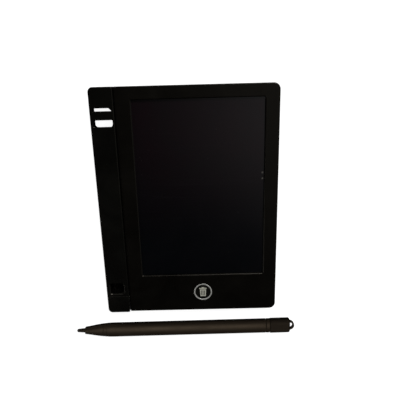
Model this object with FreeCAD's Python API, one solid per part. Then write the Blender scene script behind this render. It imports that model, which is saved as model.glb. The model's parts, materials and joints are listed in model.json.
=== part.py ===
import FreeCAD, Part
import math
import os

# Pocket LCD writing tablet with its stylus, as an assembly of separate pieces.
#
# Frame: +X to the tablet's right, +Y to its top edge, +Z out of the screen, in millimetres. The origin
# is on the tablet's back face, which lies on the table at Z = 0, close to that face's centre. The
# stylus lies on the same table, just below the tablet's bottom edge.

Vector = FreeCAD.Vector

# ---- Driving dimensions: the housing ----
BODY_LEFT = -45.1
BODY_RIGHT = 45.8
BODY_BOTTOM = -59.7
BODY_TOP = 59.1
PLATE_THICKNESS = 6.8
RAIL_WIDTH = 11.7
RAIL_STEP = 1.0  # how far the stylus rail stands above the bezel
SEAM = 0.1  # gap between neighbouring mouldings
PARTING_Z = 3.6  # height where the lower and upper mouldings meet
WALL = 1.4
SKIN = 1.2  # floor of the back cover and top of the bezel
CORNER_RADIUS = 3.2
RAIL_CORNER_RADIUS = 2.3
SEAM_CORNER_RADIUS = 0.8
TONGUE_HEIGHT = 0.7
TONGUE_WIDTH = 0.6
TONGUE_CLEARANCE = 0.05
PARTING_CHAMFER = 0.15  # small groove where two mouldings meet
EDGE_ROUNDING = 0.45
INNER_CORNER = 0.4
OVERCUT = 1.0  # how far a cutting tool runs past the face it opens

# ---- Driving dimensions: the display, a 4.4 inch writing surface ----
WINDOW_LEFT = -25.35
WINDOW_RIGHT = 38.85
WINDOW_BOTTOM = -38.65
WINDOW_TOP = 52.75
WINDOW_CORNER = 0.6
WINDOW_BEVEL = 0.35
FILM_LEFT = -28.4
FILM_RIGHT = 41.0
FILM_BOTTOM = -41.2
FILM_TOP = 53.95
GASKET_THICKNESS = 0.15
GASKET_SETBACK = 0.3
COVER_FILM_THICKNESS = 0.2
CELL_THICKNESS = 0.35
FOAM_THICKNESS = 0.5
SUPPORT_THICKNESS = 1.0

# ---- Driving dimensions: the erase button ----
BUTTON_X = 6.72
BUTTON_Y = -48.9
BUTTON_RADIUS = 4.05
BUTTON_TRAVEL = 0.5
TRIM_OUTER = 4.85
TRIM_INNER = 4.2
ICON_SLOTS = ((-0.72, 0.2), (0.0, 0.14), (0.72, 0.2))  # each slot's offset and half width

# ---- Driving dimensions: the coin cell, a CR2016, and its door ----
CELL_X = -14.5
CELL_Y = -44.0
COIN_RADIUS = 10.0
COIN_THICKNESS = 1.6
DOOR_LEFT = -27.1
DOOR_RIGHT = -2.0
DOOR_BOTTOM = -56.7
DOOR_HINGE_Y = -31.4
DOOR_THICKNESS = 1.3
DOOR_GAP = 0.15
DOOR_TONGUE_REACH = 1.6  # the tongues' tips are rounded about the hinge line at this radius
DOOR_RECESS = 0.1  # the door's face sits this far above the table
DOOR_SCREW_X = -24.4
DOOR_SCREW_Y = -53.9
DOOR_SEAT_DEPTH = 0.8  # how deep the screw's head is sunk in the door
SEAT_GAP = 0.02

# ---- Driving dimensions: the stylus rail ----
CHANNEL_WIDTH = 9.1
CHANNEL_HEIGHT = 6.0
CHANNEL_CORNER = 2.6
END_CAP_TOP = -49.9
END_CAP_SPIGOT = 1.2
LOWER_SLOT = (-44.15, -34.35, 40.4, 43.7)  # left, right, bottom, top
UPPER_SLOT = (-43.65, -34.7, 47.55, 49.3)
UPPER_SLOT_BEVEL = 1.15
BASE_SLOT_LEFT = -44.6  # both slots reach further left through the rail's lower half
BASE_SLOT_BOTTOM = 39.9  # and the lower slot reaches further down
THUMB_SLOT = (-43.0, -36.0, -48.5, -42.6)
THUMB_SLOT_BEVEL = 0.5

# ---- Driving dimensions: the stylus, lying beside the tablet ----
STYLUS_TIP_X = -65.4
STYLUS_TIP_Y = -73.65
STYLUS_YAW = 0.34  # degrees from the tablet's X axis
STYLUS_WIDTH = 8.5
STYLUS_HEIGHT = 5.6
STYLUS_WALL = (1.2, 0.95)  # at the sides, and above and below
SPIGOT_PLAY = 0.06
STYLUS_BREAK = 0.25  # chamfer where two stylus pieces meet
NIB_LENGTH = 4.9
NOSE_END = 15.3
COLLAR_END = 17.2
TAPER_END = 22.5
BARREL_END = 107.0
TRIM_END = 109.3
CAP_END = 120.4
CAP_WIDTH = 8.3
CAP_HEIGHT = 5.4
CAP_CORNER = 2.3
LOOP_CENTRE = 120.3
LOOP_INNER = 1.85
LOOP_OUTER = 2.75
LOOP_THICKNESS = 1.9

# ---- Derived dimensions ----
RAIL_RIGHT = BODY_LEFT + RAIL_WIDTH
RAIL_CENTRE = (BODY_LEFT + RAIL_RIGHT) / 2
PLATE_LEFT = RAIL_RIGHT + SEAM
RAIL_THICKNESS = PLATE_THICKNESS + RAIL_STEP
BEZEL_UNDERSIDE = PLATE_THICKNESS - SKIN
FILM_STACK_TOP = BEZEL_UNDERSIDE
COVER_FILM_TOP = FILM_STACK_TOP - GASKET_THICKNESS
CELL_TOP = COVER_FILM_TOP - COVER_FILM_THICKNESS
FOAM_TOP = CELL_TOP - CELL_THICKNESS
SUPPORT_TOP = FOAM_TOP - FOAM_THICKNESS
SUPPORT_BOTTOM = SUPPORT_TOP - SUPPORT_THICKNESS
DOOR_TOP = DOOR_RECESS + DOOR_THICKNESS
COIN_BOTTOM = DOOR_TOP + 0.05
COIN_TOP = COIN_BOTTOM + COIN_THICKNESS
LEDGE_TOP = 2.0

# The circuit board, on posts behind the bezel's lower border
BOARD_LEFT, BOARD_RIGHT = -1.5, 36.0
BOARD_BOTTOM, BOARD_TOP = -56.4, -42.8
BOARD_Z, BOARD_THICKNESS = 2.2, 1.0
BOARD_FACE = BOARD_Z + BOARD_THICKNESS
BOARD_SCREWS = ((1.8, -54.6), (33.9, -44.8))
BOARD_RESTS = ((2.0, -45.0), (33.9, -54.4))  # plain posts under the board's other corners
SWITCH_HEIGHT = 0.9
SWITCH_HALF = 2.6
PLUNGER_RADIUS = 1.2
PLUNGER_TOP = 4.6
PLUNGER_BOTTOM = BOARD_FACE + BUTTON_TRAVEL + 0.1

CASE_SCREWS = tuple((x, y) for x in (-30.05, 42.0) for y in (-55.85, 55.85))
RAIL_TABS = (-36.0, 4.0, 34.0)
RAIL_TAB_HALF = 3.0
RAIL_TAB_SCREW_X = -30.4


# ---- Basic shapes ----
def box(x0, x1, y0, y1, z0, z1):
    """A box between two corners."""
    return Part.makeBox(x1 - x0, y1 - y0, z1 - z0, Vector(x0, y0, z0))


def disc(x, y, z0, z1, radius):
    """A cylinder standing along Z."""
    return Part.makeCylinder(radius, z1 - z0, Vector(x, y, z0))


def tube(x, y, z0, z1, outer, inner):
    """A hollow cylinder standing along Z."""
    return disc(x, y, z0, z1, outer).cut(disc(x, y, z0, z1, inner))


def rounded_outline(x0, x1, y0, y1, radii, z):
    """Closed wire of a rectangle with rounded corners: left-low, right-low, right-top, left-top."""
    corners = (
        (x0, y0, 1, 1, radii[0]),
        (x1, y0, -1, 1, radii[1]),
        (x1, y1, -1, -1, radii[2]),
        (x0, y1, 1, -1, radii[3]),
    )
    edges = []
    ends = []
    for index, (x, y, inward_x, inward_y, radius) in enumerate(corners):
        along_x = Vector(x + inward_x * radius, y, z)
        along_y = Vector(x, y + inward_y * radius, z)
        first, last = (along_y, along_x) if index % 2 == 0 else (along_x, along_y)
        ends.append((first, last))
        if radius > 0:
            bulge = radius * (1 - math.sqrt(0.5))
            middle = Vector(x + inward_x * bulge, y + inward_y * bulge, z)
            edges.append(Part.Arc(first, middle, last).toShape())
    for index in range(4):
        start = ends[index][1]
        finish = ends[(index + 1) % 4][0]
        if start.distanceToPoint(finish) > 1e-6:
            edges.append(Part.makeLine(start, finish))
    return Part.Wire(Part.__sortEdges__(edges))


def slab(x0, x1, y0, y1, z0, z1, radii):
    """An upright prism over a rounded rectangle. radii is one radius or the four corners' radii."""
    if not isinstance(radii, tuple):
        radii = (radii,) * 4
    face = Part.Face(rounded_outline(x0, x1, y0, y1, radii, z0))
    return face.extrude(Vector(0, 0, z1 - z0))


def edges_at(shape, z):
    """The edges that lie flat at one height."""
    flat = []
    for edge in shape.Edges:
        bounds = edge.BoundBox
        if abs(bounds.ZMin - z) < 1e-4 and abs(bounds.ZMax - z) < 1e-4:
            flat.append(edge)
    return flat


def soften(shape, z, radius):
    """Rounds every edge that lies flat at one height."""
    return shape.makeFillet(radius, edges_at(shape, z))


def break_edges(shape, z, size):
    """Chamfers every edge that lies flat at one height."""
    return shape.makeChamfer(size, edges_at(shape, z))


def fuse(shapes):
    """One solid from several that overlap or share faces."""
    result = shapes[0]
    for shape in shapes[1:]:
        result = result.fuse(shape)
    return result.removeSplitter()


def cut(shape, tools):
    """The shape with each tool cut away."""
    for tool in tools:
        shape = shape.cut(tool)
    return shape


def save(name, shape):
    """Writes one node's STEP file, after checking that it is valid."""
    solids = shape.Solids
    if not solids or not all(s.isValid() and s.Volume > 0 for s in solids):
        raise ValueError(name + " is not a valid solid")
    shape.exportStep("parts/" + name + ".step")


# ---- Housing: lower and upper mouldings of the plate ----
PLATE_RADII = (SEAM_CORNER_RADIUS, CORNER_RADIUS, CORNER_RADIUS, SEAM_CORNER_RADIUS)
INNER_LEFT = PLATE_LEFT + WALL
INNER_RIGHT = BODY_RIGHT - WALL
INNER_BOTTOM = BODY_BOTTOM + WALL
INNER_TOP = BODY_TOP - WALL
INNER_RADIUS = CORNER_RADIUS - WALL


def plate_cavity(z0, z1, spare=0.0):
    """The room inside the plate's walls, made larger all round by spare."""
    return slab(
        INNER_LEFT - spare,
        INNER_RIGHT + spare,
        INNER_BOTTOM - spare,
        INNER_TOP + spare,
        z0,
        z1,
        (INNER_CORNER, INNER_RADIUS + spare, INNER_RADIUS + spare, INNER_CORNER),
    )


def door_tongues(clearance, z0, z1, y0, y1):
    """The two tongues on the battery door's hinge edge, or the slots that take them."""
    half = 2.0 + clearance
    return [box(x - half, x + half, y0, y1, z0, z1) for x in (CELL_X - 6.0, CELL_X + 6.0)]


def back_cover():
    """Tray with the battery well, the screw bosses and the ribs that carry the display."""
    outer = slab(PLATE_LEFT, BODY_RIGHT, BODY_BOTTOM, BODY_TOP, 0, PARTING_Z, PLATE_RADII)
    outer = break_edges(soften(outer, 0, EDGE_ROUNDING), PARTING_Z, PARTING_CHAMFER)
    shell = outer.cut(plate_cavity(SKIN, PARTING_Z + OVERCUT))
    tongue_top = PARTING_Z + TONGUE_HEIGHT
    tongue = plate_cavity(SKIN, tongue_top, TONGUE_WIDTH).cut(plate_cavity(SKIN, tongue_top))

    ledge = box(DOOR_LEFT - 1, DOOR_RIGHT + 1, INNER_BOTTOM, DOOR_HINGE_Y + 2.6, SKIN / 2, LEDGE_TOP)
    well = disc(CELL_X, CELL_Y, SKIN / 2, 3.0, COIN_RADIUS + 1.1)
    screw_post = disc(DOOR_SCREW_X, DOOR_SCREW_Y, SKIN / 2, 3.3, 2.1)
    rib_spans = ((-29.0, 41.5, 10.0), (-29.0, 41.5, 30.0), (-29.0, 41.5, 50.0), (-29.0, 41.5, -10.0))
    ribs = [box(x0, x1, y - 0.5, y + 0.5, SKIN / 2, SUPPORT_BOTTOM) for x0, x1, y in rib_spans]
    ribs.append(box(5.5, 6.5, -27.0, 50.0, SKIN / 2, SUPPORT_BOTTOM))
    bosses = [disc(x, y, SKIN / 2, PARTING_Z - 0.05, 1.8) for x, y in CASE_SCREWS]
    posts = [disc(x, y, SKIN / 2, BOARD_Z, 1.7) for x, y in BOARD_SCREWS]
    posts += [disc(x, y, SKIN / 2, BOARD_Z, 1.2) for x, y in BOARD_RESTS]
    body = fuse([shell, tongue, ledge, well, screw_post] + ribs + bosses + posts)

    pocket = slab(
        DOOR_LEFT - DOOR_GAP,
        DOOR_RIGHT + DOOR_GAP,
        DOOR_BOTTOM - DOOR_GAP,
        DOOR_HINGE_Y,
        -1,
        DOOR_TOP,
        (1.5, 1.5, 0.0, 0.0),
    )
    cell_room = disc(CELL_X, CELL_Y, -1, 4, COIN_RADIUS + 0.3)
    clip_slot = box(-4.8, -2.9, CELL_Y - 2.2, CELL_Y + 2.2, 1.9, 4)
    tongue_slots = door_tongues(0.25, 0.5, 4, DOOR_HINGE_Y - 1.2, DOOR_HINGE_Y + 1.8)
    screw_room = [
        disc(DOOR_SCREW_X, DOOR_SCREW_Y, -1, 4, 1.25),
        disc(CELL_X, CELL_Y, 3.0, 3.6, COIN_RADIUS + 1.2),
    ]
    screw_holes = []
    for x, y in CASE_SCREWS:
        screw_holes.append(disc(x, y, -1, 4, 1.0))
        screw_holes.append(disc(x, y, -1, 1.2, 1.75))
    pilots = [disc(x, y, 0.9, 3, 0.72) for x, y in BOARD_SCREWS]
    rail_holes = [disc(RAIL_TAB_SCREW_X, y, 0.3, 3, 0.72) for y in RAIL_TABS]
    rail_notches = []
    for y in RAIL_TABS:
        low, high = y - RAIL_TAB_HALF - 0.1, y + RAIL_TAB_HALF + 0.1
        rail_notches.append(box(PLATE_LEFT - 1, INNER_LEFT + 1, low, high, SKIN, SKIN + 0.95))
    tools = [pocket, cell_room, clip_slot] + tongue_slots + screw_room + screw_holes
    return cut(body, tools + pilots + rail_holes + rail_notches)


def front_bezel():
    """Front shell with the display window, the button hole and the ribs that locate the film."""
    outer = slab(
        PLATE_LEFT, BODY_RIGHT, BODY_BOTTOM, BODY_TOP, PARTING_Z, PLATE_THICKNESS, PLATE_RADII
    )
    outer = break_edges(soften(outer, PLATE_THICKNESS, EDGE_ROUNDING), PARTING_Z, PARTING_CHAMFER)
    shell = outer.cut(plate_cavity(PARTING_Z - 1, BEZEL_UNDERSIDE))
    rebate_top = PARTING_Z + TONGUE_HEIGHT + TONGUE_CLEARANCE
    rebate = plate_cavity(PARTING_Z - 1, rebate_top, TONGUE_WIDTH + TONGUE_CLEARANCE)
    shell = shell.cut(rebate)

    bosses = []
    for x, y in CASE_SCREWS:
        bosses.append(disc(x, y, PARTING_Z, BEZEL_UNDERSIDE + 0.2, 1.8))
    rib_low, rib_high = SUPPORT_TOP, BEZEL_UNDERSIDE + 0.2
    locators = [
        box(FILM_LEFT - 0.9, FILM_LEFT - 0.1, -38.0, 50.0, rib_low, rib_high),
        box(FILM_RIGHT + 0.1, FILM_RIGHT + 0.9, -38.0, 50.0, rib_low, rib_high),
        box(-26.0, 9.0, FILM_BOTTOM - 0.9, FILM_BOTTOM - 0.1, rib_low, rib_high),
        box(24.0, 38.0, FILM_BOTTOM - 0.9, FILM_BOTTOM - 0.1, rib_low, rib_high),
        box(-26.0, 38.0, FILM_TOP + 0.1, FILM_TOP + 0.9, rib_low, rib_high),
    ]
    button_guide = disc(BUTTON_X, BUTTON_Y, 4.2, BEZEL_UNDERSIDE + 0.2, 6.6)
    body = fuse([shell, button_guide] + bosses + locators)

    opening = slab(
        WINDOW_LEFT,
        WINDOW_RIGHT,
        WINDOW_BOTTOM,
        WINDOW_TOP,
        PARTING_Z,
        PLATE_THICKNESS + OVERCUT,
        WINDOW_CORNER,
    )
    pilots = [disc(x, y, PARTING_Z - 1, BEZEL_UNDERSIDE + 0.4, 0.8) for x, y in CASE_SCREWS]
    button_room = [
        disc(BUTTON_X, BUTTON_Y, 4, BEZEL_UNDERSIDE, 5.7),
        disc(BUTTON_X, BUTTON_Y, 5, 8, TRIM_INNER + 0.05),
        disc(BUTTON_X, BUTTON_Y, PLATE_THICKNESS - 0.6, 8, TRIM_OUTER + 0.02),
    ]
    body = cut(body, [opening] + pilots + button_room)
    window = (WINDOW_LEFT, WINDOW_RIGHT, WINDOW_BOTTOM, WINDOW_TOP)
    return chamfer_rim(body, PLATE_THICKNESS, window, WINDOW_BEVEL)


def chamfer_rim(body, z, opening, size):
    """Breaks the upper edge of an opening (left, right, bottom, top), all the way round."""
    left, right, low, high = opening
    reach = 0.1
    rim = []
    for edge in edges_at(body, z):
        centre = edge.BoundBox.Center
        in_x = left - reach < centre.x < right + reach
        in_y = low - reach < centre.y < high + reach
        if in_x and in_y:
            rim.append(edge)
    return body.makeChamfer(size, rim)


# ---- Stylus rail ----
def channel(y0, y1, spare=0.0):
    """The stylus channel's rounded section, as a prism along Y, made larger all round by spare."""
    half_width = CHANNEL_WIDTH / 2 + spare
    half_height = CHANNEL_HEIGHT / 2 + spare
    outline = rounded_outline(
        -half_width, half_width, -half_height, half_height, (CHANNEL_CORNER,) * 4, 0
    )
    prism = Part.Face(outline).extrude(Vector(0, 0, y1 - y0))
    prism.rotate(Vector(0, 0, 0), Vector(1, 0, 0), -90)
    prism.translate(Vector(RAIL_CENTRE, y0, RAIL_THICKNESS / 2))
    return prism


def strap_slots(z0, z1, lower_half):
    """The two slots either side of the strap bar, cut through one half of the rail."""
    left, right, low, high = LOWER_SLOT
    if lower_half:
        left, low = BASE_SLOT_LEFT, BASE_SLOT_BOTTOM
    lower = slab(left, right, low, high, z0, z1, (1.5, 1.5, 0.4, 0.4))
    left, right, low, high = UPPER_SLOT
    if lower_half:
        left = BASE_SLOT_LEFT
    corners = [
        Vector(left, low, z0),
        Vector(right, low, z0),
        Vector(right, high - UPPER_SLOT_BEVEL, z0),
        Vector(right - UPPER_SLOT_BEVEL, high, z0),
        Vector(left, high, z0),
    ]
    upper = Part.Face(Part.makePolygon(corners + corners[:1])).extrude(Vector(0, 0, z1 - z0))
    upright = [e for e in upper.Edges if e.BoundBox.ZLength > z1 - z0 - 1e-3]
    return [lower, upper.makeFillet(0.25, upright)]


def rail_tongue(spare):
    """Tongue along both of the rail's side walls, or with spare the rebate that takes it."""
    top = PARTING_Z + TONGUE_HEIGHT + spare
    left_face = RAIL_CENTRE - CHANNEL_WIDTH / 2
    right_face = RAIL_CENTRE + CHANNEL_WIDTH / 2
    low, high = END_CAP_TOP + 2.0 - spare, BODY_TOP - 3.0 + spare
    outer = TONGUE_WIDTH + spare
    return [
        box(left_face - outer, left_face, low, high, PARTING_Z - spare, top),
        box(right_face, right_face + outer, low, high, PARTING_Z - spare, top),
    ]


def rail_base():
    """Lower half of the rail, with the tabs that screw to the back cover's floor."""
    radii = (0.0, 0.0, SEAM_CORNER_RADIUS, RAIL_CORNER_RADIUS)
    outer = slab(BODY_LEFT, RAIL_RIGHT, END_CAP_TOP + SEAM, BODY_TOP, 0, PARTING_Z, radii)
    outer = break_edges(soften(outer, 0, EDGE_ROUNDING), PARTING_Z, PARTING_CHAMFER)
    tabs = []
    for y in RAIL_TABS:
        low, high = y - RAIL_TAB_HALF, y + RAIL_TAB_HALF
        tab = box(RAIL_RIGHT - 0.8, INNER_LEFT + 3.2, low, high, SKIN + 0.05, SKIN + 0.85)
        tabs.append(tab.cut(disc(RAIL_TAB_SCREW_X, y, 0, 3, 0.8)))
    body = fuse([outer] + rail_tongue(0) + tabs)
    tools = [channel(END_CAP_TOP - OVERCUT, BODY_TOP + OVERCUT)]
    return cut(body, tools + strap_slots(-OVERCUT, PARTING_Z + OVERCUT, True))


def rail_cover():
    """Upper half of the rail, with a thumb slot for pushing the stylus out."""
    radii = (0.0, 0.0, SEAM_CORNER_RADIUS, RAIL_CORNER_RADIUS)
    outer = slab(
        BODY_LEFT, RAIL_RIGHT, END_CAP_TOP + SEAM, BODY_TOP, PARTING_Z, RAIL_THICKNESS, radii
    )
    outer = break_edges(soften(outer, RAIL_THICKNESS, EDGE_ROUNDING), PARTING_Z, PARTING_CHAMFER)
    thumb_slot = slab(*THUMB_SLOT, PARTING_Z + 1.5, RAIL_THICKNESS + OVERCUT, 1.0)
    outer = chamfer_rim(outer.cut(thumb_slot), RAIL_THICKNESS, THUMB_SLOT, THUMB_SLOT_BEVEL)
    tools = [channel(END_CAP_TOP - OVERCUT, BODY_TOP + OVERCUT)] + rail_tongue(TONGUE_CLEARANCE)
    return cut(outer, tools + strap_slots(PARTING_Z - OVERCUT, RAIL_THICKNESS + OVERCUT, False))


def rail_end_cap():
    """Cap that closes the rail's lower end and seats the stylus nose in a cone."""
    radii = (RAIL_CORNER_RADIUS, SEAM_CORNER_RADIUS, 0.0, 0.0)
    outer = slab(BODY_LEFT, RAIL_RIGHT, BODY_BOTTOM, END_CAP_TOP, 0, RAIL_THICKNESS, radii)
    outer = soften(soften(outer, RAIL_THICKNESS, EDGE_ROUNDING), 0, EDGE_ROUNDING)
    spigot = channel(END_CAP_TOP - 1, END_CAP_TOP + END_CAP_SPIGOT, -0.08)
    seat_depth = 5.0
    seat_start = Vector(RAIL_CENTRE, END_CAP_TOP - seat_depth, RAIL_THICKNESS / 2)
    seat = Part.makeCone(1.7, 2.3, seat_depth + END_CAP_SPIGOT + 1, seat_start, Vector(0, 1, 0))
    return fuse([outer, spigot]).cut(seat)


# ---- Display stack ----
def film_sheet(z0, z1, inset=0.0):
    """One full-size layer of the display."""
    return slab(
        FILM_LEFT + inset, FILM_RIGHT - inset, FILM_BOTTOM + inset, FILM_TOP - inset, z0, z1, 1.0
    )


def display_gasket():
    """Adhesive frame that bonds the cover film to the bezel."""
    hole = slab(
        WINDOW_LEFT - GASKET_SETBACK,
        WINDOW_RIGHT + GASKET_SETBACK,
        WINDOW_BOTTOM - GASKET_SETBACK,
        WINDOW_TOP + GASKET_SETBACK,
        COVER_FILM_TOP - OVERCUT,
        FILM_STACK_TOP + OVERCUT,
        WINDOW_CORNER,
    )
    return film_sheet(COVER_FILM_TOP, FILM_STACK_TOP, 0.2).cut(hole)


def flex_tail():
    """Thin ribbon from the liquid-crystal cell's lower edge, down to the circuit board."""
    thickness = 0.12
    half_width = 5.0
    radius = 0.6
    x0 = BUTTON_X + 9.8 - half_width
    x1 = BUTTON_X + 9.8 + half_width
    top = CELL_TOP - 0.1
    turn_y = FILM_BOTTOM - 0.3
    upper_axis = Vector(x0, turn_y, top - thickness - radius)
    fall_y = turn_y - radius - thickness
    lower_axis = Vector(x0, fall_y - radius, BOARD_FACE + thickness + radius)
    run_out = box(x0, x1, turn_y, FILM_BOTTOM, top - thickness, top)
    fall = box(x0, x1, fall_y, fall_y + thickness, lower_axis.z, upper_axis.z)
    landing = box(x0, x1, -46.0, lower_axis.y, BOARD_FACE, BOARD_FACE + thickness)
    along = Vector(1, 0, 0)
    length = 2 * half_width
    outer, inner = radius + thickness, radius
    upper = Part.makeCylinder(outer, length, upper_axis, along)
    upper = upper.cut(Part.makeCylinder(inner, length, upper_axis, along))
    upper = upper.common(box(x0, x1, fall_y, turn_y, upper_axis.z, top))
    lower = Part.makeCylinder(outer, length, lower_axis, along)
    lower = lower.cut(Part.makeCylinder(inner, length, lower_axis, along))
    lower = lower.common(box(x0, x1, lower_axis.y, fall_y + thickness, BOARD_FACE, lower_axis.z))
    return fuse([run_out, upper, fall, lower, landing])


# ---- Electronics ----
def circuit_board():
    """Board with its two screw holes."""
    board = slab(BOARD_LEFT, BOARD_RIGHT, BOARD_BOTTOM, BOARD_TOP, BOARD_Z, BOARD_FACE, 0.8)
    return cut(board, [disc(x, y, 0, 5, 0.85) for x, y in BOARD_SCREWS])


def tact_switch():
    """Switch housing under the erase button, with the well its plunger moves in."""
    half = SWITCH_HALF
    top = BOARD_FACE + SWITCH_HEIGHT
    housing = box(BUTTON_X - half, BUTTON_X + half, BUTTON_Y - half, BUTTON_Y + half, BOARD_FACE, top)
    legs = []
    for side in (-1, 1):
        for y in (BUTTON_Y - 1.8, BUTTON_Y + 1.8):
            x = BUTTON_X + side * (half + 0.4)
            legs.append(box(x - 0.5, x + 0.5, y - 0.35, y + 0.35, BOARD_FACE, BOARD_FACE + 0.2))
    well = disc(BUTTON_X, BUTTON_Y, BOARD_FACE + 0.05, top + 1, PLUNGER_RADIUS + 0.12)
    return fuse([housing] + legs).cut(well)


def switch_plunger():
    """Round plunger that the button's post pushes down."""
    return disc(BUTTON_X, BUTTON_Y, PLUNGER_BOTTOM, PLUNGER_TOP, PLUNGER_RADIUS)


def driver_chip():
    """Eight-lead driver that makes the erase pulse."""
    x, y = 24.0, -51.5
    body = box(x - 2.4, x + 2.4, y - 2.0, y + 2.0, BOARD_FACE + 0.1, BOARD_FACE + 1.5)
    leads = []
    for side in (-1, 1):
        for index in range(4):
            lead_x = x - 1.9 + index * 1.27
            low, high = sorted((y + side * 1.9, y + side * 3.0))
            leads.append(
                box(lead_x - 0.2, lead_x + 0.2, low, high, BOARD_FACE, BOARD_FACE + 0.25)
            )
    return fuse([body] + leads)


def smd_parts():
    """Inductor, capacitors and resistors, each a separate solid."""
    placed = (
        (30.5, -51.5, 3.8, 3.8, 1.6),
        (16.0, -54.2, 1.6, 0.8, 0.8),
        (16.0, -52.2, 1.6, 0.8, 0.8),
        (16.0, -50.2, 1.6, 0.8, 0.8),
        (30.0, -46.6, 3.2, 1.6, 1.2),
        (24.8, -46.4, 2.0, 1.2, 0.9),
        (1.6, -50.4, 1.6, 0.8, 0.6),
    )
    made = []
    for x, y, length, width, height in placed:
        made.append(
            box(
                x - length / 2,
                x + length / 2,
                y - width / 2,
                y + width / 2,
                BOARD_FACE,
                BOARD_FACE + height,
            )
        )
    return Part.makeCompound(made)


# ---- Battery ----
def battery_cell():
    """Coin cell: a wide can below, which is its positive side, and a narrower cap above."""
    can = disc(CELL_X, CELL_Y, COIN_BOTTOM, COIN_TOP - 0.3, COIN_RADIUS)
    can = soften(can, COIN_BOTTOM, 0.3)
    return fuse([can, disc(CELL_X, CELL_Y, COIN_TOP - 0.3, COIN_TOP, COIN_RADIUS - 1.3)])


def battery_positive_contact():
    """Blade against the cell's rim, with an arm to the board."""
    blade = box(-4.48, -4.26, CELL_Y - 1.9, CELL_Y + 1.0, 1.95, BOARD_FACE + 0.2)
    arm = box(-4.48, 0.4, CELL_Y - 1.9, CELL_Y + 1.0, BOARD_FACE, BOARD_FACE + 0.2)
    return fuse([blade, arm])


def battery_negative_contact():
    """Leaf across the cell's cap, stepped up onto the board."""
    y = CELL_Y - 6.0
    leaf = box(-16.0, -1.7, y - 1.5, y + 1.5, COIN_TOP, COIN_TOP + 0.2)
    step = box(-1.9, -1.7, y - 1.5, y + 1.5, COIN_TOP, BOARD_FACE + 0.2)
    foot = box(-1.9, 0.6, y - 1.5, y + 1.5, BOARD_FACE, BOARD_FACE + 0.2)
    return fuse([leaf, step, foot])


def battery_door():
    """Door with two hinge tongues, a grip and a countersunk screw seat."""
    plate = slab(
        DOOR_LEFT,
        DOOR_RIGHT,
        DOOR_BOTTOM,
        DOOR_HINGE_Y - DOOR_GAP,
        DOOR_RECESS,
        DOOR_TOP,
        (1.4, 1.4, 0.2, 0.2),
    )
    hinge_start = Vector(DOOR_LEFT, DOOR_HINGE_Y, DOOR_RECESS)
    swing = Part.makeCylinder(DOOR_TONGUE_REACH, DOOR_RIGHT - DOOR_LEFT, hinge_start, Vector(1, 0, 0))
    reach = DOOR_TONGUE_REACH
    tongues = door_tongues(0, 0.6, 1.25, DOOR_HINGE_Y - reach, DOOR_HINGE_Y + reach)
    body = fuse([plate] + [tongue.common(swing) for tongue in tongues])
    grooves = [box(-19.5, -9.5, y, y + 0.6, 0, DOOR_RECESS + 0.3) for y in (-54.6, -53.4, -52.2)]
    seat = [
        disc(DOOR_SCREW_X, DOOR_SCREW_Y, 0, DOOR_RECESS + DOOR_SEAT_DEPTH, 1.9),
        disc(DOOR_SCREW_X, DOOR_SCREW_Y, 0, 2, 0.95),
    ]
    return cut(body, grooves + seat)


# ---- Screws ----
def cross_recess(x, y, z, depth, size, up):
    """The cross-shaped driver recess in a screw head, opening upwards or downwards."""
    low, high = (z - depth, z + 0.5) if up else (z - 0.5, z + depth)
    return [
        box(x - size, x + size, y - 0.16, y + 0.16, low, high),
        box(x - 0.16, x + 0.16, y - size, y + size, low, high),
    ]


def screw(x, y, head_z, head_height, head_radius, shank_radius, shank_length, head_up):
    """A pan-head screw; head_z is the underside of its head and the shank runs away from the head."""
    sign = 1 if head_up else -1
    head_end = head_z + sign * head_height
    shank_end = head_z - sign * shank_length
    head = disc(x, y, min(head_z, head_end), max(head_z, head_end), head_radius)
    head = soften(head, head_end, head_height * 0.35)
    shank = disc(x, y, min(head_z, shank_end), max(head_z, shank_end), shank_radius)
    body = fuse([head, shank])
    return cut(body, cross_recess(x, y, head_end, head_height * 0.55, head_radius * 0.6, head_up))


def case_screws():
    """Four screws from the back cover up into the bezel."""
    return Part.makeCompound([screw(x, y, 1.2, 0.9, 1.6, 0.78, 4.2, False) for x, y in CASE_SCREWS])


def board_screws():
    """Two screws that hold the circuit board to its posts."""
    made = [screw(x, y, BOARD_FACE, 0.7, 1.35, 0.7, 2.2, True) for x, y in BOARD_SCREWS]
    return Part.makeCompound(made)


def rail_screws():
    """Three screws that hold the rail's tabs to the back cover's floor."""
    z = SKIN + 0.85
    made = [screw(RAIL_TAB_SCREW_X, y, z, 0.7, 1.35, 0.7, 1.7, True) for y in RAIL_TABS]
    return Part.makeCompound(made)


def battery_door_screw():
    """Captive screw at the door's free corner; its head stops just short of its seat, so that it turns."""
    head_z = DOOR_RECESS + DOOR_SEAT_DEPTH - SEAT_GAP
    return screw(DOOR_SCREW_X, DOOR_SCREW_Y, head_z, 0.7, 1.7, 0.85, 2.1, False)


# ---- Erase button ----
def icon_strokes(z0, z1):
    """Waste-bin symbol: handle, lid and a body with two slots, as prisms."""
    y = BUTTON_Y + 0.15
    handle = box(BUTTON_X - 0.7, BUTTON_X + 0.7, y + 2.2, y + 2.65, z0, z1)
    lid = box(BUTTON_X - 2.0, BUTTON_X + 2.0, y + 1.65, y + 2.2, z0, z1)
    outline = [
        Vector(BUTTON_X - 1.65, y + 1.35, z0),
        Vector(BUTTON_X - 1.45, y - 2.65, z0),
        Vector(BUTTON_X + 1.45, y - 2.65, z0),
        Vector(BUTTON_X + 1.65, y + 1.35, z0),
    ]
    bin_body = Part.Face(Part.makePolygon(outline + outline[:1])).extrude(Vector(0, 0, z1 - z0))
    slots = []
    for offset, half_width in ICON_SLOTS:
        x = BUTTON_X + offset
        slots.append(box(x - half_width, x + half_width, y - 2.05, y + 0.75, z0, z1))
    return [fuse([handle, lid]), cut(bin_body, slots)]


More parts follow.
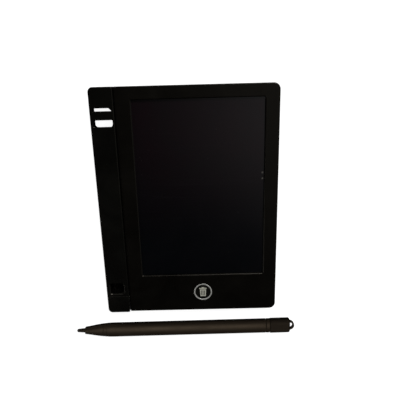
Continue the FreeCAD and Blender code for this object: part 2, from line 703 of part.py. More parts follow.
ICON_BASE = PLATE_THICKNESS - 0.15
ICON_TOP = PLATE_THICKNESS + 0.06


def button_icon():
    """The symbol, moulded into the button's face and a hair proud of it."""
    return Part.makeCompound(icon_strokes(ICON_BASE, ICON_TOP))


def button_cap():
    """Round cap with the flange that holds it under the bezel, and its post."""
    stem = disc(BUTTON_X, BUTTON_Y, 4.95, PLATE_THICKNESS, BUTTON_RADIUS)
    stem = soften(stem, PLATE_THICKNESS, 0.3)
    flange = disc(BUTTON_X, BUTTON_Y, 4.95, 5.5, 5.45)
    post = disc(BUTTON_X, BUTTON_Y, PLUNGER_TOP, 5.0, PLUNGER_RADIUS)
    return cut(fuse([stem, flange, post]), icon_strokes(ICON_BASE, ICON_TOP + 1))


def button_trim_ring():
    """Silver ring let into the bezel round the button."""
    ring = tube(
        BUTTON_X, BUTTON_Y, PLATE_THICKNESS - 0.6, PLATE_THICKNESS + 0.06, TRIM_OUTER, TRIM_INNER
    )
    return soften(ring, PLATE_THICKNESS + 0.06, 0.12)


# ---- Stylus, modelled along +X from its tip, then laid in place ----
STYLUS_AXES = FreeCAD.Rotation(Vector(0, 1, 0), Vector(0, 0, 1), Vector(1, 0, 0), "ZXY")


def oval(x, width, height):
    """Closed elliptical wire across the stylus at one station."""
    if abs(width - height) < 1e-6:
        curve = Part.Circle(Vector(0, 0, 0), Vector(0, 0, 1), width / 2)
    else:
        curve = Part.Ellipse(Vector(0, 0, 0), width / 2, height / 2)
    wire = Part.Wire(curve.toShape())
    wire.Placement = FreeCAD.Placement(Vector(x, 0, STYLUS_HEIGHT / 2), STYLUS_AXES)
    return wire


def oval_bar(x0, x1, width, height):
    """Straight bar with an elliptical section."""
    return Part.Face(oval(x0, width, height)).extrude(Vector(x1 - x0, 0, 0))


def loft(stations):
    """Smooth solid through elliptical sections (x, width, height)."""
    return Part.makeLoft([oval(*station) for station in stations], True, False)


def lay(shape):
    """Moves a stylus piece from its own axis to where the stylus lies on the table."""
    shape = shape.copy()
    shape.rotate(Vector(0, 0, 0), Vector(0, 0, 1), STYLUS_YAW)
    shape.translate(Vector(STYLUS_TIP_X, STYLUS_TIP_Y, 0))
    return shape


BARREL_BORE = (STYLUS_WIDTH - 2 * STYLUS_WALL[0], STYLUS_HEIGHT - 2 * STYLUS_WALL[1])
SPIGOT = (BARREL_BORE[0] - SPIGOT_PLAY, BARREL_BORE[1] - SPIGOT_PLAY)
NOSE_STATIONS = (
    (NIB_LENGTH, 4.1, 3.9),
    (8.0, 5.2, 4.4),
    (11.6, 6.6, 4.9),
    (NOSE_END, 7.75, 5.25),
)
TAPER_STATIONS = (
    (NOSE_END + 0.05, 7.77, 5.26),
    (18.6, 8.35, 5.52),
    (TAPER_END, STYLUS_WIDTH, STYLUS_HEIGHT),
)
NOSE_GROOVE = (7.4, 4.9)
COLLAR_GROOVE = (7.8, 5.1)


def oval_groove(x0, x1, width, height):
    """Ring that cuts a shallow groove round the stylus, leaving the given oval inside it."""
    outer = oval_bar(x0, x1, STYLUS_WIDTH + 2, STYLUS_HEIGHT + 2)
    return outer.cut(oval_bar(x0 - 1, x1 + 1, width, height))


def stylus_nose():
    """Tapered nose with a spigot into the barrel and a socket for the nib."""
    cone = loft(NOSE_STATIONS)
    cone = cone.cut(oval_groove(NOSE_END - 0.2, NOSE_END + OVERCUT, *NOSE_GROOVE))
    spigot = oval_bar(NOSE_END - 0.5, NOSE_END + 5.0, *SPIGOT)
    axis_start = Vector(NIB_LENGTH - 1, 0, STYLUS_HEIGHT / 2)
    socket = Part.makeCylinder(0.76, 6.0, axis_start, Vector(1, 0, 0))
    return fuse([cone, spigot]).cut(socket)


def stylus_nib():
    """Hard nib with a rounded point and a stem in the nose, turned from one profile."""
    point_radius = 0.95
    base_radius = 1.25
    stem_radius = 0.75
    stem_end = NIB_LENGTH + 4.3
    bulge = point_radius * math.sqrt(0.5)
    round_start = Vector(0, 0, 0)
    round_middle = Vector(point_radius - bulge, bulge, 0)
    round_end = Vector(point_radius, point_radius, 0)
    corners = [
        round_end,
        Vector(NIB_LENGTH, base_radius, 0),
        Vector(NIB_LENGTH, stem_radius, 0),
        Vector(stem_end, stem_radius, 0),
        Vector(stem_end, 0, 0),
        round_start,
    ]
    edges = [Part.Arc(round_start, round_middle, round_end).toShape()]
    for start, finish in zip(corners, corners[1:]):
        edges.append(Part.makeLine(start, finish))
    nib = Part.Face(Part.Wire(edges)).revolve(Vector(0, 0, 0), Vector(1, 0, 0), 360)
    nib.translate(Vector(0, 0, STYLUS_HEIGHT / 2))
    return nib


def chamfer_end(shape, x, size):
    """Breaks the outer edge of a stylus piece's flat end."""
    outer = []
    for edge in shape.Edges:
        bounds = edge.BoundBox
        flat = abs(bounds.XMin - x) < 1e-3 and abs(bounds.XMax - x) < 1e-3
        if flat and bounds.YLength > STYLUS_WIDTH - 0.6:
            outer.append(edge)
    return shape.makeChamfer(size, outer)


def stylus_barrel():
    """Hollow oval barrel with a tapered front end."""
    straight = oval_bar(TAPER_END, BARREL_END, STYLUS_WIDTH, STYLUS_HEIGHT)
    straight = chamfer_end(straight, BARREL_END, STYLUS_BREAK)
    body = fuse([loft(TAPER_STATIONS), straight])
    grooves = [
        oval_groove(NOSE_END - OVERCUT, NOSE_END + 0.2, *NOSE_GROOVE),
        oval_groove(COLLAR_END - 0.2, COLLAR_END + 0.2, *COLLAR_GROOVE),
    ]
    return cut(body, grooves + [oval_bar(NOSE_END - 1, BARREL_END + 1, *BARREL_BORE)])


def stylus_trim_ring():
    """Narrow band between the barrel and the tail cap."""
    x0, x1 = BARREL_END + 0.03, TRIM_END - 0.03
    band = oval_bar(x0, x1, STYLUS_WIDTH, STYLUS_HEIGHT)
    band = chamfer_end(chamfer_end(band, x0, STYLUS_BREAK), x1, STYLUS_BREAK)
    return band.cut(oval_bar(x0 - 1, x1 + 1, *BARREL_BORE))


def loop_outline(x0, centre, radius, z):
    """U-shaped outline: two straight legs from x0 and a half circle about centre."""
    low = Vector(x0, -radius, z)
    low_turn = Vector(centre, -radius, z)
    end = Vector(centre + radius, 0, z)
    high_turn = Vector(centre, radius, z)
    high = Vector(x0, radius, z)
    edges = [
        Part.makeLine(low, low_turn),
        Part.Arc(low_turn, end, high_turn).toShape(),
        Part.makeLine(high_turn, high),
        Part.makeLine(high, low),
    ]
    return Part.Face(Part.Wire(edges))


def lanyard_bail(spare):
    """The U-shaped bail, made thicker all round by spare."""
    z0 = (STYLUS_HEIGHT - LOOP_THICKNESS) / 2 - spare
    thickness = LOOP_THICKNESS + 2 * spare
    start = CAP_END - 3.0 - spare
    outer = loop_outline(start, LOOP_CENTRE, LOOP_OUTER + spare, z0).extrude(Vector(0, 0, thickness))
    inner = loop_outline(start - 1, LOOP_CENTRE, LOOP_INNER - spare, z0).extrude(Vector(0, 0, thickness))
    return outer.cut(inner)


def stylus_lanyard_loop():
    """U-shaped bail whose two legs sit in the tail cap."""
    bail = lanyard_bail(0)
    z0 = (STYLUS_HEIGHT - LOOP_THICKNESS) / 2
    return soften(soften(bail, z0, 0.2), z0 + LOOP_THICKNESS, 0.2)


def stylus_tail_cap():
    """Flattened tail cap with a spigot into the barrel and sockets for the bail."""
    half_width = CAP_WIDTH / 2
    half_height = CAP_HEIGHT / 2
    outline = rounded_outline(
        -half_width, half_width, -half_height, half_height, (CAP_CORNER,) * 4, 0
    )
    outline.Placement = FreeCAD.Placement(Vector(TRIM_END, 0, STYLUS_HEIGHT / 2), STYLUS_AXES)
    body = Part.Face(outline).extrude(Vector(CAP_END - TRIM_END, 0, 0))
    ends = [e for e in body.Edges if abs(e.BoundBox.XMin - CAP_END) < 1e-3]
    body = body.makeFillet(0.9, ends)
    starts = [e for e in body.Edges if abs(e.BoundBox.XMax - TRIM_END) < 1e-3]
    body = body.makeChamfer(STYLUS_BREAK, starts)
    spigot = oval_bar(TRIM_END - 8.0, TRIM_END + 0.5, *SPIGOT)
    return fuse([body, spigot]).cut(lanyard_bail(0.01))


# ---- Write every node ----
def build():
    """Makes each node and writes its STEP file."""
    nodes = {
        "back_cover": back_cover(),
        "front_bezel": front_bezel(),
        "rail_base": rail_base(),
        "rail_cover": rail_cover(),
        "rail_end_cap": rail_end_cap(),
        "display_gasket": display_gasket(),
        "cover_film": film_sheet(CELL_TOP, COVER_FILM_TOP),
        "lcd_cell": film_sheet(FOAM_TOP, CELL_TOP),
        "foam_pad": film_sheet(SUPPORT_TOP, FOAM_TOP, 0.5),
        "support_plate": film_sheet(SUPPORT_BOTTOM, SUPPORT_TOP, 0.1),
        "flex_tail": flex_tail(),
        "circuit_board": circuit_board(),
        "tact_switch": tact_switch(),
        "driver_chip": driver_chip(),
        "smd_parts": smd_parts(),
        "battery_cell": battery_cell(),
        "battery_positive_contact": battery_positive_contact(),
        "battery_negative_contact": battery_negative_contact(),
        "battery_door": battery_door(),
        "battery_door_screw": battery_door_screw(),
        "case_screws": case_screws(),
        "board_screws": board_screws(),
        "rail_screws": rail_screws(),
        "button_cap": button_cap(),
        "button_icon": button_icon(),
        "button_trim_ring": button_trim_ring(),
        "switch_plunger": switch_plunger(),
        "stylus_nib": lay(stylus_nib()),
        "stylus_nose": lay(stylus_nose()),
        "stylus_barrel": lay(stylus_barrel()),
        "stylus_trim_ring": lay(stylus_trim_ring()),
        "stylus_tail_cap": lay(stylus_tail_cap()),
        "stylus_lanyard_loop": lay(stylus_lanyard_loop()),
    }
    os.makedirs("parts", exist_ok=True)
    for name, shape in nodes.items():
        save(name, shape)


build()
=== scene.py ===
import json
import math

import bpy
from mathutils import Matrix, Vector

# Looks for the pocket LCD writing tablet and its stylus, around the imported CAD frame.

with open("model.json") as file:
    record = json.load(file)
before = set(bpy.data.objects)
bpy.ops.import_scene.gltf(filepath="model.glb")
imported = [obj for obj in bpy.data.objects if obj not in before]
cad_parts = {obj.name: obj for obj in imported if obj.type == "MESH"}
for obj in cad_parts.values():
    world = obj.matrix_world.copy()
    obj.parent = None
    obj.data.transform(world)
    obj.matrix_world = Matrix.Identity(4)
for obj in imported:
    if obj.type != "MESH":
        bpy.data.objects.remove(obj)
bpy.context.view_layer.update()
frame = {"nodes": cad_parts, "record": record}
nodes = frame["nodes"]

MM = 0.001

# The camera looks down from above the tablet's top end. Its lens and sensor are in millimetres.
CAMERA_PLACE = (0.00796, 0.05754, 0.20181)
CAMERA_RIGHT = (0.99967, -0.02584, -0.00071)
CAMERA_BACK = (0.00767, 0.27033, 0.96274)
CAMERA_LENS = 36.0
CAMERA_SENSOR = 36.0
CAMERA_NEAR = 10 * MM

# The floor glows, so that it looks evenly white, and gives the object less light than it shows.
FLOOR_HALF = 3.0
FLOOR_DROP = 0.02 * MM
FLOOR_GLOW_SEEN = 0.94
FLOOR_GLOW_GIVEN = 0.4

# The world's lights: a glow overhead and two low strips. Their places are parts of a unit direction.
GLOW_CENTRE = (0.454, -0.035)
GLOW_FLATNESS = 1.5
GLOW_RADIUS = 0.85
GLOW_CORE = 0.1
GLOW_FULL_HEIGHT = 0.2
GLOW_RADIANCE = 0.28
STRIP_TOP = 0.42
STRIP_FULL_HEIGHT = 0.3
STRIP_START = 0.3
STRIP_FULL = 0.95
BACK_RADIANCE = 0.6
RIGHT_RADIANCE = 0.2
ROOM_RADIANCE = 0.012

# The writing film is reddish and lighter above, bluish and darker below; the lighter top is a painted
# reflection over the film's own tint. Two small pale spots sit at its right edge.
FILM_PAINTED_REFLECTION_LOW = -30 * MM
FILM_PAINTED_REFLECTION_HIGH = 40 * MM
PALE_SPOTS = ((0.0380, 0.0159, 0.0057), (0.0381, 0.0130, 0.0057))
PALE_SPOT_RADIUS = 1.1 * MM
PALE_SPOT_CORE = 0.6 * MM
PALE_SPOT_RAGGEDNESS = 0.8 * MM

# How far worn edges reach in from a corner.
PLASTIC_EDGE = 0.22 * MM
METAL_EDGE = 0.12 * MM
TRIM_EDGE = 0.1 * MM


# ---- Node graphs ----
class Graph:
    """The node tree of a material or of the world, with short calls to add nodes and join them."""

    def __init__(self, name, tree=None):
        if tree is None:
            self.material = bpy.data.materials.new(name)
            self.material.use_nodes = True
            tree = self.material.node_tree
            self.shader = tree.nodes["Principled BSDF"]
        self.tree = tree
        self.place = self.add("ShaderNodeTexCoord").outputs["Object"]

    def add(self, kind, inputs=None, **settings):
        """A new node. Inputs are plain values or another node's output."""
        node = self.tree.nodes.new(kind)
        for key, value in settings.items():
            setattr(node, key, value)
        for key, value in (inputs or {}).items():
            self.join(value, node.inputs[key])
        return node

    def join(self, value, socket):
        """Links an output to a socket, or sets the socket's value."""
        if isinstance(value, bpy.types.NodeSocket):
            self.tree.links.new(value, socket)
        else:
            socket.default_value = value

    def noise(self, scale, detail=3.0, roughness=0.5, stretch=(1, 1, 1), distortion=0.0):
        """Noise from 0 to 1 about 0.5; scale is in features per metre."""
        mapping = self.add("ShaderNodeMapping", {"Vector": self.place, "Scale": stretch})
        texture = self.add(
            "ShaderNodeTexNoise",
            {
                "Vector": mapping.outputs["Vector"],
                "Scale": scale,
                "Detail": detail,
                "Roughness": roughness,
                "Distortion": distortion,
            },
        )
        return texture.outputs["Fac"]

    def spots(self, scale, size):
        """Small separate round spots, 1 at the middle of each and 0 between them."""
        cells = self.add("ShaderNodeTexVoronoi", {"Vector": self.place, "Scale": scale})
        return self.remap(cells.outputs["Distance"], size, size * 0.4, 0.0, 1.0)

    def remap(self, value, low, high, to_low, to_high, smooth=False):
        """Value from low..high stretched to to_low..to_high, and held there outside."""
        settings = {"interpolation_type": "SMOOTHSTEP"} if smooth else {}
        inputs = {0: value, 1: low, 2: high, 3: to_low, 4: to_high}
        return self.add("ShaderNodeMapRange", inputs, **settings).outputs[0]

    def math(self, operation, first, second=0.0):
        """One arithmetic step."""
        return self.add("ShaderNodeMath", {0: first, 1: second}, operation=operation).outputs[0]

    def blend(self, factor, first, second):
        """Two colours mixed by factor."""
        mix = self.add("ShaderNodeMix", data_type="RGBA")
        self.join(factor, mix.inputs[0])
        self.join(first, mix.inputs[6])
        self.join(second, mix.inputs[7])
        return mix.outputs[2]

    def edges(self, radius):
        """Normal rounded over sharp edges, and a mask that is 1 along them."""
        bevel = self.add("ShaderNodeBevel", {"Radius": radius}, samples=6)
        true_normal = self.add("ShaderNodeNewGeometry").outputs["Normal"]
        facing = self.add(
            "ShaderNodeVectorMath",
            {0: bevel.outputs["Normal"], 1: true_normal},
            operation="DOT_PRODUCT",
        )
        return bevel.outputs["Normal"], self.remap(facing.outputs["Value"], 0.99, 0.8, 0.0, 1.0)

    def bump(self, height, depth, normal=None):
        """Normal tilted by a height pattern, depth in metres."""
        inputs = {"Height": height, "Distance": depth, "Strength": 1.0}
        if normal is not None:
            inputs["Normal"] = normal
        return self.add("ShaderNodeBump", inputs).outputs["Normal"]

    def finish(self, **sockets):
        """Sets the shader's sockets, named with underscores for spaces, and returns the material."""
        for key, value in sockets.items():
            self.join(value, self.shader.inputs[key.replace("_", " ")])
        return self.material


def rgb(red, green, blue):
    """Linear colour from the usual 0 to 255 display values."""
    def linear(value):
        value /= 255
        return value / 12.92 if value <= 0.04045 else ((value + 0.055) / 1.055) ** 2.4

    return (linear(red), linear(green), linear(blue), 1.0)


def scaled(colour, factor):
    """A lighter or darker version of a linear colour."""
    return tuple(min(1.0, value * factor) for value in colour[:3]) + (1.0,)


WARM = (1.0, 0.93, 0.8, 1.0)
BRONZE = (1.0, 0.76, 0.52, 1.0)


# ---- Materials ----
def moulded_plastic(
    name, colour, worn, roughness, grain_depth=0.012 * MM, grain=7000, gloss=0.36, tint=WARM
):
    """Moulded plastic with spark-eroded grain, handling smudges, fine dust and polished edges."""
    g = Graph(name)
    rounded, edge_mask = g.edges(PLASTIC_EDGE)
    grain_height = g.noise(grain, detail=2.0, roughness=0.6)
    smudge = g.noise(55, detail=4.0, roughness=0.6, distortion=0.6)
    patches = g.noise(14, detail=2.0)
    speck = g.spots(900, 0.09)
    thin_speck = g.math("MULTIPLY", speck, g.remap(patches, 0.5, 0.62, 0.0, 1.0))
    rub = g.remap(g.noise(420, detail=3.0, stretch=(1, 0.2, 1)), 0.45, 0.7, 0.0, 1.0)
    wear = g.math("MULTIPLY", edge_mask, g.math("ADD", g.math("MULTIPLY", rub, 0.6), 0.4))
    tone = g.blend(g.remap(smudge, 0.3, 0.75, 0.0, 1.0), colour, scaled(colour, 1.35))
    tone = g.blend(g.math("MULTIPLY", wear, 0.55), tone, worn)
    tone = g.blend(g.math("MULTIPLY", thin_speck, 0.35), tone, rgb(120, 118, 112))
    shine = g.remap(smudge, 0.3, 0.7, roughness - 0.05, roughness + 0.07)
    shine = g.math("SUBTRACT", shine, g.math("MULTIPLY", wear, 0.1))
    height = g.math("ADD", grain_height, g.math("MULTIPLY", g.noise(1600, detail=2.0), 0.6))
    return g.finish(
        Base_Color=tone,
        Roughness=shine,
        Specular_IOR_Level=gloss,
        Specular_Tint=tint,
        Normal=g.bump(height, grain_depth, rounded),
    )


def writing_film():
    """Glossy polyester over dark liquid crystal: mottling, stylus scuffs, specks, two small pale spots,
    and a painted reflection that makes it lighter towards the top.
    """
    g = Graph("writing_film")
    mottle = g.noise(38, detail=5.0, roughness=0.6, distortion=0.8)
    across = g.add("ShaderNodeSeparateXYZ", {"Vector": g.place}).outputs
    # Painted reflection: the film's colour runs from dark bluish below to lighter reddish above.
    painted_reflection_up = g.remap(across["Y"], FILM_PAINTED_REFLECTION_LOW, FILM_PAINTED_REFLECTION_HIGH, 0.0, 1.0, smooth=True)
    tint = g.blend(painted_reflection_up, rgb(3, 5, 8), rgb(20, 8, 13))
    tint = g.blend(g.remap(mottle, 0.3, 0.72, 0.0, 0.6), tint, rgb(9, 8, 11))
    dust = g.math("MULTIPLY", g.spots(330, 0.045), g.remap(g.noise(30), 0.52, 0.6, 0.0, 1.0))
    tint = g.blend(g.math("MULTIPLY", dust, 0.5), tint, rgb(110, 106, 104))
    # Two small pale spots with ragged rims at the window's right edge.
    to_pale_spots = [
        g.add("ShaderNodeVectorMath", {0: g.place, 1: pale_spot}, operation="DISTANCE").outputs["Value"]
        for pale_spot in PALE_SPOTS
    ]
    ragged = g.math("MULTIPLY", g.noise(900), PALE_SPOT_RAGGEDNESS)
    nearest = g.math("ADD", g.math("MINIMUM", *to_pale_spots), ragged)
    tint = g.blend(g.remap(nearest, PALE_SPOT_RADIUS, PALE_SPOT_CORE, 0.0, 0.5), tint, rgb(140, 136, 128))
    strokes = g.noise(260, detail=4.0, roughness=0.7, stretch=(0.05, 1, 1), distortion=1.2)
    scuffs = g.remap(strokes, 0.56, 0.7, 0.0, 1.0)
    shine = g.math("ADD", g.remap(mottle, 0.3, 0.7, 0.13, 0.2), g.math("MULTIPLY", scuffs, 0.07))
    wave = g.math("ADD", g.noise(26, detail=1.0), g.math("MULTIPLY", scuffs, 0.03))
    return g.finish(
        Base_Color=tint,
        Roughness=shine,
        Normal=g.bump(wave, 0.04 * MM),
        Coat_Weight=0.35,
        Coat_Roughness=0.05,
    )


def silver_trim():
    """Silver-plated ring, finely brushed and lightly tarnished."""
    g = Graph("silver_trim")
    rounded, edge_mask = g.edges(TRIM_EDGE)
    tarnish = g.noise(500, detail=4.0, roughness=0.65)
    tone = g.blend(g.remap(tarnish, 0.35, 0.7, 0.0, 1.0), rgb(224, 224, 218), rgb(190, 189, 183))
    tone = g.blend(g.math("MULTIPLY", edge_mask, 0.35), tone, rgb(224, 224, 220))
    shine = g.remap(tarnish, 0.3, 0.7, 0.3, 0.48)
    brushed = g.noise(4200, detail=2.0, stretch=(1, 1, 0.2))
    normal = g.bump(brushed, 0.006 * MM, rounded)
    return g.finish(Base_Color=tone, Metallic=0.35, Roughness=shine, Normal=normal)


def printed_ink():
    """Pad-printed beige ink, a little uneven and dulled by fingertips."""
    g = Graph("printed_ink")
    uneven = g.noise(1500, detail=4.0, roughness=0.6)
    worn = g.remap(g.noise(600, detail=3.0), 0.5, 0.75, 0.0, 0.45)
    tone = g.blend(uneven, rgb(192, 192, 176), rgb(216, 215, 199))
    tone = g.blend(worn, tone, rgb(158, 157, 144))
    shine = g.remap(uneven, 0.3, 0.7, 0.45, 0.62)
    normal = g.bump(uneven, 0.01 * MM)
    return g.finish(Base_Color=tone, Roughness=shine, Specular_IOR_Level=0.2, Normal=normal)


def metal(name, light, dark, roughness, grain=2600):
    """Rolled or turned metal: drawn grain, patchy oxide and burnished edges."""
    g = Graph(name)
    rounded, edge_mask = g.edges(METAL_EDGE)
    oxide = g.noise(180, detail=4.0, roughness=0.6)
    tone = g.blend(g.remap(oxide, 0.4, 0.7, 0.0, 1.0), light, dark)
    tone = g.blend(g.math("MULTIPLY", edge_mask, 0.4), tone, scaled(light, 1.5))
    shine = g.remap(oxide, 0.3, 0.7, roughness - 0.06, roughness + 0.1)
    drawn = g.noise(grain, detail=2.0, stretch=(0.05, 1, 1))
    normal = g.bump(drawn, 0.005 * MM, rounded)
    return g.finish(Base_Color=tone, Metallic=1.0, Roughness=shine, Normal=normal)


def board_laminate():
    """Green solder mask over woven glass, with fine copper tracks showing through."""
    g = Graph("board_laminate")
    threads = [
        g.add(
            "ShaderNodeTexWave",
            {"Vector": g.place, "Scale": 900.0, "Distortion": 0.4},
            bands_direction=direction,
        ).outputs["Fac"]
        for direction in "XY"
    ]
    weave = g.math("MULTIPLY", *threads)
    tracks = g.add(
        "ShaderNodeTexBrick",
        {"Vector": g.place, "Scale": 260.0, "Mortar Size": 0.035, "Brick Width": 1.7, "Row Height": 0.45},
    )
    tone = g.blend(g.math("MULTIPLY", weave, 0.4), rgb(12, 74, 38), rgb(20, 92, 48))
    tone = g.blend(g.math("MULTIPLY", tracks.outputs["Fac"], 0.7), tone, rgb(44, 122, 66))
    height = g.math("ADD", g.math("MULTIPLY", weave, 0.3), tracks.outputs["Fac"])
    shine = g.remap(g.noise(200), 0.3, 0.7, 0.28, 0.42)
    return g.finish(Base_Color=tone, Roughness=shine, Normal=g.bump(height, 0.02 * MM))


def soft_sheet(name, colour, lighter, roughness, pore=2500, depth=0.05 * MM):
    """Foam, tape or thin film: fine pores, darkened as painted shade in their hollows, and slow changes
    of tone.
    """
    g = Graph(name)
    pores = g.spots(pore, 0.42)
    slow = g.noise(70, detail=3.0)
    tone = g.blend(g.remap(slow, 0.35, 0.7, 0.0, 1.0), colour, lighter)
    # Painted shade: the pore hollows are darkened in colour.
    tone = g.blend(g.math("MULTIPLY", pores, 0.35), tone, scaled(colour, 0.5))
    shine = g.remap(slow, 0.3, 0.7, roughness - 0.06, roughness + 0.06)
    height = g.math("SUBTRACT", 1.0, pores)
    return g.finish(Base_Color=tone, Roughness=shine, Normal=g.bump(height, depth))


MATERIALS = {
    "housing_plastic": moulded_plastic("housing_plastic", rgb(4, 3, 2), rgb(40, 38, 35), 0.3),
    "rail_plastic": moulded_plastic("rail_plastic", rgb(5, 5, 4), rgb(44, 42, 38), 0.28, grain=5200),
    "adhesive": soft_sheet("adhesive", rgb(20, 19, 18), rgb(30, 29, 28), 0.7),
    "cover_film": writing_film(),
    "lcd_laminate": soft_sheet(
        "lcd_laminate", rgb(12, 13, 18), rgb(22, 20, 26), 0.25, pore=900, depth=0.005 * MM
    ),
    "foam": soft_sheet("foam", rgb(46, 46, 46), rgb(62, 61, 60), 0.85),
    "support_plastic": moulded_plastic("support_plastic", rgb(196, 195, 188), rgb(220, 219, 214), 0.5),
    "polyimide": soft_sheet(
        "polyimide", rgb(148, 82, 24), rgb(176, 104, 36), 0.3, pore=1600, depth=0.008 * MM
    ),
    "board_laminate": board_laminate(),
    "switch_metal": metal("switch_metal", rgb(190, 190, 186), rgb(150, 149, 143), 0.34),
    "chip_plastic": moulded_plastic("chip_plastic", rgb(24, 24, 25), rgb(60, 60, 60), 0.55),
    "ceramic": moulded_plastic("ceramic", rgb(156, 134, 104), rgb(190, 178, 150), 0.5),
    "cell_steel": metal("cell_steel", rgb(196, 196, 193), rgb(160, 160, 156), 0.25, grain=1500),
    "contact_metal": metal("contact_metal", rgb(206, 202, 188), rgb(176, 168, 148), 0.28),
    "screw_steel": metal("screw_steel", rgb(64, 63, 62), rgb(38, 37, 36), 0.42),
    "button_plastic": moulded_plastic("button_plastic", rgb(5, 5, 4), rgb(30, 29, 27), 0.36, grain=8200),
    "icon_ink": printed_ink(),
    "trim_chrome": silver_trim(),
    "plunger_plastic": moulded_plastic("plunger_plastic", rgb(120, 44, 34), rgb(150, 80, 66), 0.45),
    "stylus_plastic": moulded_plastic(
        "stylus_plastic", rgb(34, 28, 22), rgb(84, 72, 58), 0.5, 0.006 * MM, 5200, gloss=0.4, tint=BRONZE
    ),
    # The cap is the stylus plastic made rougher, with a darker base colour as painted shade.
    "shaded_cap_plastic": moulded_plastic(
        "shaded_cap_plastic", rgb(28, 24, 20), rgb(74, 64, 54), 0.65, gloss=0.3, tint=BRONZE
    ),
    "nib_plastic": moulded_plastic("nib_plastic", rgb(26, 22, 18), rgb(70, 62, 54), 0.4, tint=BRONZE),
}


def dress_nodes():
    """Gives every CAD node its slot's material. The stylus's cap gets a rougher copy of its plastic,
    darker as painted shade.
    """
    for part in frame["record"]["subparts"]:
        node = nodes[part["node"]]
        slot = "shaded_cap_plastic" if node.name == "stylus_tail_cap" else part["material_slot"]
        node.data.materials.clear()
        node.data.materials.append(MATERIALS[slot])


dress_nodes()


# ---- Camera, floor and light ----
def make_camera():
    """Looks down on the tablet from above its top end, a hand's length away."""
    data = bpy.data.cameras.new("camera")
    data.lens = CAMERA_LENS
    data.sensor_width = CAMERA_SENSOR
    data.clip_start = CAMERA_NEAR
    camera = bpy.data.objects.new("camera", data)
    bpy.context.scene.collection.objects.link(camera)
    back = Vector(CAMERA_BACK).normalized()
    up = back.cross(Vector(CAMERA_RIGHT)).normalized()
    turn = Matrix((up.cross(back), up, back)).transposed().to_4x4()
    camera.matrix_world = Matrix.Translation(CAMERA_PLACE) @ turn
    bpy.context.scene.camera = camera


def make_floor():
    """Plain pale table top that glows evenly, less towards the object than towards the camera."""
    mesh = bpy.data.meshes.new("floor")
    signs = ((-1, -1), (1, -1), (1, 1), (-1, 1))
    corners = [(x * FLOOR_HALF, y * FLOOR_HALF, 0) for x, y in signs]
    mesh.from_pydata(corners, [], [(0, 1, 2, 3)])
    floor = bpy.data.objects.new("floor", mesh)
    bpy.context.scene.collection.objects.link(floor)
    floor.location.z = -FLOOR_DROP
    g = Graph("floor")
    pale = g.blend(g.noise(9, detail=2.0), (0.50, 0.50, 0.50, 1), (0.54, 0.54, 0.54, 1))
    seen = g.add("ShaderNodeLightPath").outputs["Is Camera Ray"]
    tone = g.blend(seen, (0.06, 0.06, 0.06, 1), pale)
    g.join((1, 1, 1, 1), g.shader.inputs["Emission Color"])
    mesh.materials.append(
        g.finish(
            Base_Color=tone,
            Roughness=0.9,
            Specular_IOR_Level=0.1,
            Emission_Strength=g.remap(seen, 0.0, 1.0, FLOOR_GLOW_GIVEN, FLOOR_GLOW_SEEN),
        )
    )
    return floor


def make_sun(name, towards, strength, spread_degrees):
    """Soft distant light shining from a direction."""
    data = bpy.data.lights.new(name, "SUN")
    data.energy = strength
    data.angle = math.radians(spread_degrees)
    lamp = bpy.data.objects.new(name, data)
    bpy.context.scene.collection.objects.link(lamp)
    lamp.rotation_euler = Vector(towards).to_track_quat("Z", "Y").to_euler()
    return lamp


def link_light(lamp, names, state):
    """Lets a lamp or the floor light only the named nodes (INCLUDE), or all but them (EXCLUDE)."""
    receivers = bpy.data.collections.new(lamp.name + "_receivers")
    for name in names:
        receivers.objects.link(nodes[name])
    for member in receivers.collection_objects:
        member.light_linking.link_state = state
    lamp.light_linking.receiver_collection = receivers


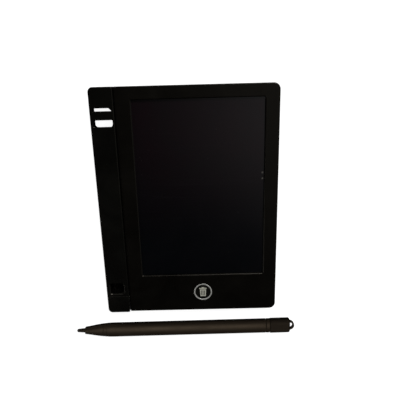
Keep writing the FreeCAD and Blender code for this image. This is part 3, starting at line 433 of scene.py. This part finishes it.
def make_world():
    """Dim studio: a glow overhead to the right, low strips behind and at the right, a white backdrop."""
    world = bpy.data.worlds.new("studio")
    bpy.context.scene.world = world
    world.use_nodes = True
    g = Graph("world", world.node_tree)
    towards = g.add("ShaderNodeTexCoord").outputs["Generated"]
    side, depth, height = g.add("ShaderNodeSeparateXYZ", {"Vector": towards}).outputs
    glow_side = g.math("SUBTRACT", side, GLOW_CENTRE[0])
    glow_depth = g.math("MULTIPLY", g.math("SUBTRACT", depth, GLOW_CENTRE[1]), GLOW_FLATNESS)
    squares = [g.math("POWER", offset, 2.0) for offset in (glow_side, glow_depth)]
    distance = g.math("SQRT", g.math("ADD", *squares))
    glow = g.math("POWER", g.remap(distance, GLOW_RADIUS, GLOW_CORE, 0.0, 1.0, smooth=True), 2.0)
    above = g.remap(height, 0.0, GLOW_FULL_HEIGHT, 0.0, 1.0)
    glow = g.math("MULTIPLY", g.math("MULTIPLY", glow, above), GLOW_RADIANCE)
    low = g.remap(height, STRIP_TOP, STRIP_FULL_HEIGHT, 0.0, 1.0, smooth=True)
    back, right = [
        g.math("MULTIPLY", g.remap(along, STRIP_START, STRIP_FULL, 0.0, 1.0, smooth=True), radiance)
        for along, radiance in ((depth, BACK_RADIANCE), (side, RIGHT_RADIANCE))
    ]
    strip = g.math("MULTIPLY", g.math("ADD", back, right), low)
    total = g.math("ADD", g.math("ADD", glow, strip), ROOM_RADIANCE)
    seen = g.add("ShaderNodeLightPath").outputs["Is Camera Ray"]
    strength = g.math("MAXIMUM", seen, total)
    background = world.node_tree.nodes["Background"]
    g.join(strength, background.inputs["Strength"])
    g.join((1, 1, 1, 1), background.inputs["Color"])


bpy.context.scene.view_settings.view_transform = "Standard"
make_camera()
floor = make_floor()
make_world()
key = make_sun("key", towards=(0.5, 1.1, 1.0), strength=1.65, spread_degrees=20)
fill = make_sun("fill", towards=(-1.2, -0.8, 0.8), strength=0.4, spread_degrees=30)
stylus_light = make_sun("stylus_light", towards=(-0.08, -0.08, 1.0), strength=1.1, spread_degrees=34)

# The stylus has a lamp of its own, and the rail's slots stay dark inside.
stylus_nodes = [name for name in nodes if name.startswith("stylus_")]
link_light(key, stylus_nodes, "EXCLUDE")
link_light(fill, stylus_nodes, "EXCLUDE")
link_light(floor, stylus_nodes + ["rail_base", "rail_cover"], "EXCLUDE")
link_light(stylus_light, stylus_nodes, "INCLUDE")
